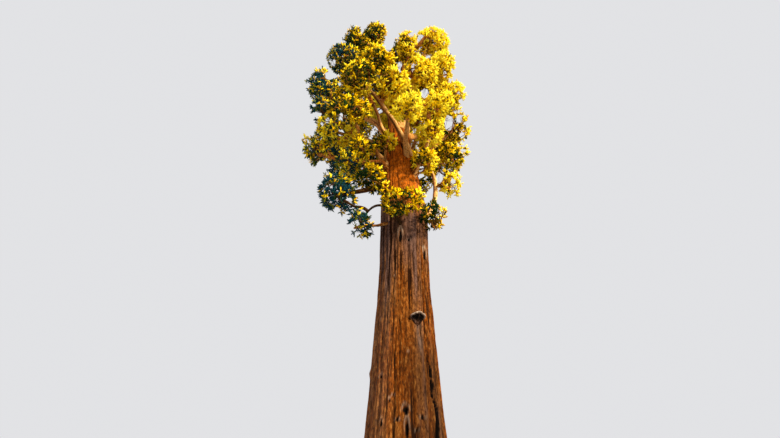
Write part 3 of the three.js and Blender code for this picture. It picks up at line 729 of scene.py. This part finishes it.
def in_a_gap(p, more):
    """Which points the photograph's view sees in an opening, each opening larger by that many pixels all round."""
    x, y = seen(p)
    inside = np.zeros(len(x), bool)
    for u, v, wide, tall in GAPS:
        inside |= ((x - u) / (wide + more)) ** 2 + ((y - v) / (tall + more)) ** 2 < 1
    return inside


# ---------------------------------------------------------------- where the tufts sit
TUFT_SPACING, TUFT_IN = 0.265, 0.15
DENSER = {"front_foot": 0.84, "left_foot": 0.88, "left_low": 0.95}
TRIES = 38.0  # places tried on each square metre of a mass's skin
INNER_SPACING = 0.34
rng = np.random.default_rng(4711)
tuft_at, tuft_out, tuft_mass, tuft_depth = [], [], [], []
placed = {}


def spot(p, spacing):
    """True, and taken, if nothing stands nearer than that."""
    cell = 0.7
    i, j, k = (int(math.floor(c / cell)) for c in p)
    for a in (i - 1, i, i + 1):
        for b in (j - 1, j, j + 1):
            for c in (k - 1, k, k + 1):
                for q in placed.get((a, b, c), ()):
                    if (q[0] - p[0]) ** 2 + (q[1] - p[1]) ** 2 + (q[2] - p[2]) ** 2 < spacing * spacing:
                        return False
    placed.setdefault((i, j, k), []).append(tuple(p))
    return True


for index, m in enumerate(masses):
    corners = m["corners"]
    cross = np.cross(corners[:, 1] - corners[:, 0], corners[:, 2] - corners[:, 0])
    area = np.linalg.norm(cross, axis=1) / 2
    n = int(area.sum() * TRIES)
    face = rng.choice(len(area), n, p=area / area.sum())
    a, b = np.sqrt(rng.random(n)), rng.random(n)
    skin = corners[face, 0] * (1 - a)[:, None] + corners[face, 1] * (a * (1 - b))[:, None] + corners[face, 2] * (a * b)[:, None]
    normal = unit(cross)[face]
    away = unit(skin - m["centre"])
    outwards = unit(0.7 * normal + 0.3 * away)
    # the clumps stand out and the hollows between them lie deeper
    hollow = step(-0.05, 0.5, field(skin, 0.62, 35))
    into = TUFT_IN * rng.uniform(0.75, 1.3, n) + 0.30 * hollow
    at = skin - outwards * into[:, None]
    bare = field(at, 0.9, 31)
    gap = in_a_gap(at, -0.4)
    luck, room = rng.random(n), rng.uniform(0.9, 1.15, n) * DENSER.get(m["name"], 1.0)
    for k in range(n):
        if gap[k] or bare[k] > 0.62:
            continue
        p = at[k]
        thick = m["bvh"].ray_cast(Vector(skin[k] - 0.004 * normal[k]), Vector(-outwards[k]))[3]
        if thick is None:
            continue
        if into[k] > 0.45 * thick:
            p = skin[k] - outwards[k] * 0.45 * thick
        if not spot(p, TUFT_SPACING * room[k]):
            continue
        shared = touching(skin[k], m, 0.14)
        # fewer where two masses meet, inside the crown
        if shared and (luck[k] > 0.34 or bare[k] > 0.2):
            continue
        tuft_at.append(p)
        tuft_out.append(unit(outwards[k] + np.array([0, 0, 0.35]) + rng.normal(0, 0.18, 3)))
        tuft_mass.append(index)
        tuft_depth.append(0.55 if shared else 0.85 * hollow[k])
    # darker ones further in, that close the mass: older, duller foliage and painted shade
    n = int(area.sum() * 9)
    face = rng.choice(len(area), n, p=area / area.sum())
    a, b = np.sqrt(rng.random(n)), rng.random(n)
    skin = corners[face, 0] * (1 - a)[:, None] + corners[face, 1] * (a * (1 - b))[:, None] + corners[face, 2] * (a * b)[:, None]
    inwards = unit(0.6 * unit(skin - m["centre"]) + 0.4 * unit(cross)[face]) * -1.0
    into = rng.uniform(0.48, 0.95, n)
    for k in range(n):
        thick = m["bvh"].ray_cast(Vector(skin[k] + 0.004 * inwards[k]), Vector(inwards[k]))[3]
        if thick is None or thick < 0.8:
            continue
        p = skin[k] + inwards[k] * min(into[k], 0.5 * thick)
        if in_a_gap(p, 0.6)[0] or not spot(p, INNER_SPACING):
            continue
        tuft_at.append(p)
        tuft_out.append(unit(-inwards[k] + np.array([0, 0, 0.3]) + rng.normal(0, 0.4, 3)))
        tuft_mass.append(index)
        tuft_depth.append(2.0)
tuft_at, tuft_out = np.array(tuft_at), np.array(tuft_out)
tuft_mass, tuft_depth = np.array(tuft_mass), np.array(tuft_depth)
tuft_inner = tuft_depth > 1.5
tuft_depth = np.minimum(tuft_depth, 1.0)
TUFTS = len(tuft_at)

# ---------------------------------------------------------------- limbs: grown from the trunk and boughs into the masses
# Each point joins the tree where the new piece plus a share of the whole way to the ground is shortest.
WAY_HOME = 0.34
CROSSING = 1.7  # how much dearer it is to cross from one mass into another
node_at, node_parent, node_way, node_mass, node_size = [], [], [], [], []


def add_node(p, parent, way, mass, size=0.0):
    node_at.append(p)
    node_parent.append(parent)
    node_way.append(way)
    node_mass.append(mass)
    node_size.append(size)
    return len(node_at) - 1


last = -1
for z in np.arange(12.5, 38.2, 0.3):
    s = station(z)
    last = add_node(np.array([s[1], s[2], z]), last, (z - 12) * 0.35, -1, s[0] / 2)
trunk_nodes = len(node_at)
for p, base in bough_lines:
    root = int(np.argmin(np.linalg.norm(np.array(node_at[:trunk_nodes]) - p[0], axis=1)))
    last, way = root, node_way[root]
    for k in range(2, len(p), 2):
        way += np.linalg.norm(p[k] - p[k - 2])
        last = add_node(p[k], last, way, -2, base[k])
fixed_nodes = len(node_at)

targets, target_mass = [], []
for index, m in enumerate(masses):
    volume = np.prod(m["hi"] - m["lo"]) * 0.52
    want = int(np.clip(volume * 1.5, 7, 46))
    got = []
    for d in ball(want * 5, index * 2.3)[rng.permutation(want * 5)]:
        distance = m["bvh"].ray_cast(Vector(m["centre"]), Vector(d))[3]
        if distance is None:
            continue
        p = m["centre"] + d * distance * (rng.uniform(0.05, 1) ** 0.5) * 0.74
        if not in_a_gap(p, 0.0)[0] and all(np.linalg.norm(p - q) > 0.36 for q in got):
            got.append(p)
        if len(got) >= want:
            break
    targets += got
    target_mass += [index] * len(got)
targets, target_mass = np.array(targets), np.array(target_mass)

fixed = np.array(node_at)
ways = np.array(node_way)
on_trunk = np.arange(len(fixed)) < trunk_nodes
d = np.linalg.norm(targets[:, None] - fixed[None], axis=2) - np.array(node_size)[None]
# limbs rise from where they leave the trunk
rise = np.clip((fixed[None, :, 2] - targets[:, None, 2] + 0.15 * d) / np.maximum(d, 0.1), 0, 1)
cost = d * np.where(on_trunk, 1.35, 1.0)[None] * (1 + 0.5 * rise) + WAY_HOME * ways[None]
best, best_from = cost.min(1), cost.argmin(1)
free = np.ones(len(targets), bool)
while free.any():
    k = int(np.where(free, best, 1e9).argmin())
    free[k] = False
    parent = int(best_from[k])
    way = node_way[parent] + float(np.linalg.norm(targets[k] - node_at[parent]))
    here = add_node(targets[k], parent, way, int(target_mass[k]))
    step_to = np.linalg.norm(targets - targets[k], axis=1)
    dear = np.where(target_mass == target_mass[k], 1.0, CROSSING)
    new = step_to * dear * (1 + 0.35 * np.clip((targets[k][2] - targets[:, 2]) / np.maximum(step_to, 0.1), 0, 1)) + WAY_HOME * way
    better = free & (new < best)
    best[better], best_from[better] = new[better], here
node_at = np.array(node_at)
node_parent, node_mass = np.array(node_parent), np.array(node_mass)

# each tuft hangs on the nearest limb of its own mass
load = np.zeros(len(node_at))
tuft_node = np.zeros(TUFTS, int)
grown = np.arange(len(node_at)) >= fixed_nodes
for index in range(len(masses)):
    mine = np.where(tuft_mass == index)[0]
    limbs = np.where(node_mass == index)[0]
    near = np.where(node_mass == -2)[0]
    pool = np.concatenate([limbs, near])
    dist = np.linalg.norm(tuft_at[mine][:, None] - node_at[pool][None], axis=2)
    dist[:, len(limbs):] *= 1.3
    tuft_node[mine] = pool[dist.argmin(1)]
np.add.at(load, tuft_node, 1.0)
for k in range(len(node_at) - 1, 0, -1):
    if node_parent[k] >= 0:
        load[node_parent[k]] += load[k]
THINNEST = 0.013
limb_radius = THINNEST * np.maximum(load, 1.0) ** 0.44


def curved(points, pieces, seed, gnarl):
    """A smooth, slightly gnarled line through the points."""
    p = np.asarray(points)
    q = np.concatenate([[2 * p[0] - p[1]], p, [2 * p[-1] - p[-2]]])
    out = [p[0]]
    tt = []
    for i in range(len(p) - 1):
        a, b, c, e = q[i], q[i + 1], q[i + 2], q[i + 3]
        n = max(2, int(np.ceil(np.linalg.norm(c - b) / pieces)))
        for t in np.arange(1, n + 1) / n:
            out.append(0.5 * (2 * b + (c - a) * t + (2 * a - 5 * b + 4 * c - e) * t * t + (3 * b - a - 3 * c + e) * t**3))
            tt.append(i + t)
    out = np.array(out)
    bend = np.stack([field(out, 0.45, seed), field(out + 7.0, 0.45, seed + 1), field(out - 9.0, 0.45, seed + 2)], -1)
    out[1:] += bend[1:] * gnarl
    return out, np.array([0.0] + tt)


def tube(p, r, sides):
    """Rings round a line of points that end in a tip."""
    along, side, up = frames_along(p)
    a = 2 * np.pi * np.arange(sides) / sides
    ring = p[:, None] + (side[:, None] * np.cos(a)[None, :, None] + up[:, None] * np.sin(a)[None, :, None]) * r[:, None, None]
    f = grid_faces(len(p), sides)
    if np.dot(np.cross(ring[0, 1] - ring[0, 0], ring[1, 0] - ring[0, 0]), ring[0, 0] - p[0]) < 0:
        f = f[:, ::-1]
    tip = np.array([p[-1] + along[-1] * r[-1]])
    j = np.arange(sides)
    last = (len(p) - 1) * sides
    cap = np.stack([last + j, last + (j + 1) % sides, np.full(sides, len(p) * sides)], -1)
    return np.concatenate([ring.reshape(-1, 3), tip]), np.concatenate([f, cap]), ring.shape[:2]


children = {}
for k in range(fixed_nodes, len(node_at)):
    children.setdefault(int(node_parent[k]), []).append(k)
limb_parts = {"front": [], "back": []}
starts = [(parent, k) for parent, ks in children.items() if parent < fixed_nodes for k in ks]
while starts:
    parent, k = starts.pop()
    line, size = [node_at[parent], node_at[k]], [0.0, limb_radius[k]]
    size[0] = limb_radius[k] * 1.15
    while k in children:
        kids = sorted(children[k], key=lambda c: -load[c])
        starts += [(k, c) for c in kids[1:]]
        k = kids[0]
        line.append(node_at[k])
        size.append(limb_radius[k])
    size[-1] *= 0.6
    thick = size[0]
    pts, t = curved(line, 0.16 if thick > 0.03 else 0.22, 71, 0.06 + 0.5 * min(thick, 0.1))
    r = np.interp(t, np.arange(len(size)), size)
    r = r * (1 + 0.35 * np.exp(-t * 4))
    sides = 9 if thick > 0.085 else 7 if thick > 0.05 else 5 if thick > 0.025 else 4
    v, f, (rows, cols) = tube(pts, r, sides)
    knots = 1 + 0.12 * field(v, 0.18, 75)
    centre = np.repeat(pts, cols, axis=0)
    v[:-1] = centre + (v[:-1] - centre) * knots[:-1, None]
    grey = np.clip(0.35 + 0.5 * field(v, 0.5, 76), 0, 1)
    cavity = np.clip((0.50 if thick < 0.06 else 0.32) + 0.5 * field(v, 0.12, 77), 0, 1)
    # painted shade: limbs in the shaded masses are darker
    shaded = 0.62 * step(0.34, 0.12, SUNNY[masses[int(node_mass[k])]["name"]])
    marks = np.stack([cavity, grey * 0.7, shaded + 0 * grey, 0 * grey], -1)
    limb_parts["front" if line[-1][1] < 0 else "back"].append((v, f, marks))


def joined(parts):
    v, f, m, n = [], [], [], 0
    for a, b, c in parts:
        v.append(a)
        f.append(b + n)
        m.append(c)
        n += len(a)
    return np.concatenate(v), np.concatenate(f), np.concatenate(m)


for side, parts in limb_parts.items():
    v, f, m = joined(parts)
    o = mesh_object("limbs_" + side, v, f, [BOUGH_BARK], m)

# ---------------------------------------------------------------- twigs: from the limb to each tuft
TWIG_SIDES = 3
a0, a1 = node_at[tuft_node], tuft_at
chord = np.linalg.norm(a1 - a0, axis=1)
ctrl = (a0 + a1) / 2 + np.stack([field(a1, 0.3, 81), field(a1, 0.3, 82), field(a1, 0.3, 83) - 0.5], -1) * (0.22 * chord)[:, None]
ts = np.array([0.0, 0.5, 1.0])
path = ((1 - ts) ** 2)[None, :, None] * a0[:, None] + (2 * ts * (1 - ts))[None, :, None] * ctrl[:, None] + (ts**2)[None, :, None] * a1[:, None]
along = unit(np.gradient(path, axis=1))
across = unit(np.cross(along, np.array([0.31, 0.22, 0.925])))
third = np.cross(along, across)
radius = 0.014 * (1 - 0.4 * ts)
ang = 2 * np.pi * np.arange(TWIG_SIDES) / TWIG_SIDES
ring = path[:, :, None] + (across[:, :, None] * np.cos(ang)[:, None] + third[:, :, None] * np.sin(ang)[:, None]) * radius[None, :, None, None]
ring = np.concatenate([ring[:, :2].reshape(len(ring), -1, 3), path[:, 2:]], axis=1)  # two rings and a point
per = 2 * TWIG_SIDES + 1
twig_faces = np.concatenate([grid_faces(2, TWIG_SIDES), np.array([[3, 4, 6], [4, 5, 6], [5, 3, 6]])])
for side, keep in (("front", tuft_at[:, 1] < 0), ("back", tuft_at[:, 1] >= 0)):
    v = ring[keep].reshape(-1, 3)
    f = (twig_faces[None] + (np.arange(int(keep.sum())) * per)[:, None, None]).reshape(-1, 3)
    o = mesh_object("twigs_" + side, v, f, [TWIG_BARK])

# ---------------------------------------------------------------- tints, dealt out by spray
# The tints are painted light: golden on the side the sun reaches, and painted shade, dark green, on the far side and
# the inside.
SCALE = 9  # tints from dark to bright; the others stand in for three of them on the cool side
COOL = {"left_foot", "left_low", "left_low_inner", "left_tip_low", "left_mid", "left_up_tip", "left_up", "left_top_tip", "back_low_left", "back_mid_left", "back_up_left"}
mass_warm = np.array([SUNNY[m["name"]] for m in masses])
mass_cool = np.array([m["name"] in COOL for m in masses])
mass_mid = np.array([(m["lo"] + m["hi"]) / 2 for m in masses])
mass_half = np.array([(m["hi"] - m["lo"]) / 2 for m in masses])
offset = (tuft_at - mass_mid[tuft_mass]) / mass_half[tuft_mass]
# painted light: within each mass, the side towards the sun and the top are warmer
warm = mass_warm[tuft_mass] + 0.10 * offset[:, 0] + 0.06 * offset[:, 2] + 0.20 * field(tuft_at, 1.1, 91) + 0.16 * field(tuft_at, 0.5, 92)
# painted shade: tufts in the hollows, where masses meet and further in are darker
warm += rng.normal(0, 0.16, TUFTS) - 0.38 * tuft_depth - 0.14 * tuft_inner + 0.03
# painted shade on the hollows that the clumps above them shade: middle, half width, half height and by how much
for u, v, wide, tall, less in ((378, 71, 25, 8, 0.36), (441, 135, 18, 8, 0.20), (384, 143, 14, 6, 0.26)):
    x, y = seen(tuft_at)
    warm -= less * np.exp(-((((x - u) / wide) ** 2 + ((y - v) / tall) ** 2) ** 2)) * (tuft_at[:, 1] < 0)
# painted shade: the outer left edge and the top of the shaded masses are darker
warm += np.where(mass_warm[tuft_mass] < 0.5, 0.14 * offset[:, 0] - 0.10 * offset[:, 2], 0.0)


def basis(n):
    a = np.where(np.abs(n[..., 2:3]) < 0.9, np.array([0.0, 0.0, 1.0]), np.array([1.0, 0.0, 0.0]))
    u = unit(np.cross(n, a))
    return u, np.cross(n, u)


# ---------------------------------------------------------------- sprays of scale needles
def sprays(tufts, count, awls, least, most, thick):
    """The points of every awl on those tufts, with its mass and its tint."""
    t = len(tufts)
    size = rng.uniform(least, most, t)
    out = tuft_out[tufts]
    # sprays spread over the outer half of each tuft
    tilt = np.concatenate([np.zeros((t, 1)), np.radians(rng.uniform(48, 98, (t, count - 1)))], 1) + rng.normal(0, 0.14, (t, count))
    turn = rng.uniform(0, 2 * np.pi, (t, 1)) + np.arange(count)[None] * (2 * np.pi / (count - 1)) + rng.normal(0, 0.25, (t, count))
    bu, bv = basis(out)
    spray_dir = unit(
        out[:, None] * np.cos(tilt)[..., None]
        + (bu[:, None] * np.cos(turn)[..., None] + bv[:, None] * np.sin(turn)[..., None]) * np.sin(tilt)[..., None]
        + np.array([0, 0, 0.12])
    )
    # awls along each spray, the first one at its end
    k = np.arange(awls)
    sit = np.concatenate([[0.70], 0.10 + 0.62 * (np.arange(awls - 1) + 0.5) / (awls - 1)])
    lean_deg = np.concatenate([[4.0], np.linspace(46, 24, awls - 1)])
    n = t * count
    sd = spray_dir.reshape(n, 3)
    sl = (size[:, None] * rng.uniform(0.8, 1.15, (t, count))).reshape(n)
    su, sv = basis(sd)
    lean = np.radians(lean_deg[None] + rng.normal(0, 9, (n, awls)))
    spin = rng.uniform(0, 2 * np.pi, (n, 1)) + k[None] * 2.39996 + rng.normal(0, 0.3, (n, awls))
    awl_dir = sd[:, None] * np.cos(lean)[..., None] + (su[:, None] * np.cos(spin)[..., None] + sv[:, None] * np.sin(spin)[..., None]) * np.sin(lean)[..., None]
    awl_dir = unit(awl_dir + np.array([0, 0, 0.10]))
    awl_len = sl[:, None] * np.where(k == 0, 0.44, 0.46)[None] * rng.uniform(0.8, 1.25, (n, awls))
    awl_at = np.repeat(tuft_at[tufts], count, 0)[:, None] + sd[:, None] * (sl[:, None] * sit[None])[..., None]
    awl_at = awl_at + np.array([0, 0, 1.0]) * (0.22 * sl[:, None] * sit[None] ** 2)[..., None]  # the ends turn up
    half = thick * rng.uniform(0.8, 1.25, (n, awls)) * np.clip(sl[:, None] / (1.15 * (least + most) / 2), 0.75, 1.2)
    au, av = basis(awl_dir)
    ang = rng.uniform(0, 2 * np.pi, (n, awls))[..., None] + (2 * np.pi / 3) * np.arange(3)
    foot = awl_at[:, :, None] + (au[:, :, None] * np.cos(ang)[..., None] + av[:, :, None] * np.sin(ang)[..., None]) * half[..., None, None]
    tip = awl_at + awl_dir * awl_len[..., None]
    points = np.concatenate([foot, tip[:, :, None]], axis=2).reshape(-1, 4, 3)
    # one tint for each spray; sprays that point up and towards the sun are lighter, painted light; now and then a
    # darker one, older dull foliage and painted shade
    cool = np.repeat(mass_cool[tuft_mass[tufts]], count)
    sun_share = np.repeat(mass_warm[tuft_mass[tufts]], count)
    spray_warm = np.repeat(warm[tufts], count) + rng.normal(0, 0.25, n) * np.where(cool, 1.3, 1.1 - 0.35 * sun_share) + 0.12 * sd[:, 2] + 0.10 * sd[:, 0] + 0.04
    spray_warm -= 0.30 * (rng.random(n) < 0.14 - 0.09 * sun_share)
    tint = np.clip(np.floor(spray_warm * SCALE).astype(int), 0, SCALE - 1)
    # painted shade: only the masses in deep shade get blue tints, and the cool side's darker sprays take greener tints
    tint = np.where(cool & (tint >= 2) & (tint <= 4), tint - 2 + SCALE, np.where(cool, tint, np.maximum(tint, 1)))
    # whole sprays are missing where the sky shows, to a ragged edge
    keep = np.repeat(~in_a_gap(awl_at.mean(axis=1) + sd * (0.25 * sl)[:, None], rng.uniform(-0.6, 1.4, n)), awls)
    return points[keep], np.repeat(np.repeat(tuft_mass[tufts], count), awls)[keep], np.repeat(tint, awls)[keep]


outer_tufts, inner_tufts = np.where(~tuft_inner)[0], np.where(tuft_inner)[0]
kinds = [sprays(outer_tufts, 6, 5, 0.17, 0.28, 0.038), sprays(inner_tufts, 5, 3, 0.32, 0.44, 0.085)]
points, mass_of, tint = (np.concatenate([kind[k] for kind in kinds]) for k in range(3))
# inside the part's own box, and off the ground
lo, hi = np.array(cad_box[0]), np.array(cad_box[1])
points = np.clip(points, lo - 0.02, hi + 0.02)
points[..., 2] = np.minimum(points[..., 2], hi[2])

awl_faces = np.array([[0, 1, 3], [1, 2, 3], [2, 0, 3]])
total = 0
for index, m in enumerate(masses):
    keep = mass_of == index
    v = points[keep].reshape(-1, 3)
    n = len(v) // 4
    f = (awl_faces[None] + (np.arange(n) * 4)[:, None, None]).reshape(-1, 3)
    which = np.repeat(tint[keep], 3)
    used = np.unique(which)
    o = mesh_object("needles_" + m["name"], v, f, [TINTS[t] for t in used], None, np.searchsorted(used, which))
    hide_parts("foliage_" + m["name"])
    total += len(f)

# ---------------------------------------------------------------- floor and light
bpy.ops.mesh.primitive_plane_add(size=4000, location=(0, 0, -0.002))
floor = bpy.context.object
floor.name = "floor"
floor_look = Tree("floor")
floor_look.shader.inputs["Base Color"].default_value = (0.48, 0.495, 0.535, 1)
floor_look.shader.inputs["Roughness"].default_value = 0.9
floor_look.shader.inputs["Specular IOR Level"].default_value = 0.0
floor.data.materials.append(floor_look.material)

world = bpy.data.worlds.new("studio")
bpy.context.scene.world = world
world.use_nodes = True
world.node_tree.nodes["Background"].inputs[0].default_value = (0.95, 0.955, 0.98, 1)
world.node_tree.nodes["Background"].inputs[1].default_value = 0.80


def sun(name, towards, strength, tone, wide):
    data = bpy.data.lights.new(name, "SUN")
    data.energy, data.color, data.angle = strength, tone, math.radians(wide)
    o = bpy.data.objects.new(name, data)
    bpy.context.scene.collection.objects.link(o)
    o.rotation_mode = "QUATERNION"
    o.rotation_quaternion = Vector(towards).to_track_quat("Z", "Y")


sun("key", (0.62, -0.72, 0.30), 6.5, (1.0, 0.92, 0.68), 6)
sun("fill", (-0.75, 0.25, 0.5), 1.2, (0.8, 0.9, 1.0), 60)
bpy.context.scene.view_settings.view_transform = "Standard"
bpy.context.scene.view_settings.look = "None"

print("tufts", len(outer_tufts), "inner", len(inner_tufts), "needle triangles", total, "limb nodes", len(node_at) - fixed_nodes)
for o in sorted((o for o in bpy.data.objects if o.type == "MESH"), key=lambda o: -len(o.data.polygons))[:8]:
    print(o.name, len(o.data.polygons))
